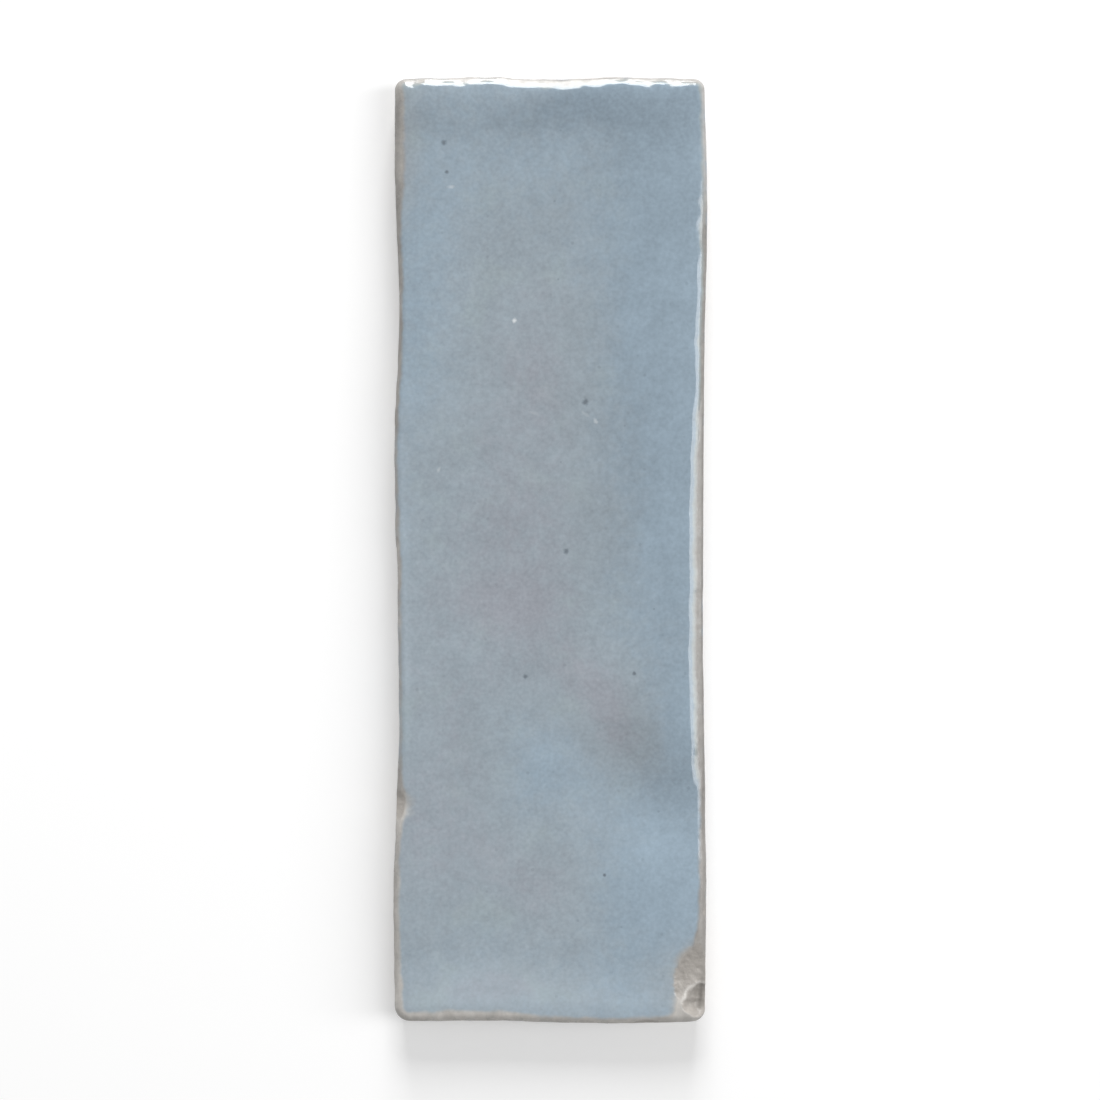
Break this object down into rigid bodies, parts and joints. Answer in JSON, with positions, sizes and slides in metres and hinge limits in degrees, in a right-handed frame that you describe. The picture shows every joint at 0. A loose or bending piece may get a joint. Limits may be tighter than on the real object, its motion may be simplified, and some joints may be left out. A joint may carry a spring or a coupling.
{
  "type": "subway wall tile",
  "caption": "Long, narrow hand-formed wall tile with a glossy, mottled blue-grey glaze, a rippled face, rolled uneven edges, a chipped corner and a flat back for bedding.",
  "frame": {"origin": "centre of the flat back", "axes": "+X across the tile, +Y along its length, +Z out of the glazed face"},
  "size_m": [0.0662, 0.1999, 0.0102],
  "materials": {
    "glaze": "glossy, mottled blue-grey glaze that thins to taupe over the edges; the chips, lower sides and back are bare buff clay"
  },
  "bodies": {
    "root": {"tile": "glaze"}
  },
  "joints": []
}
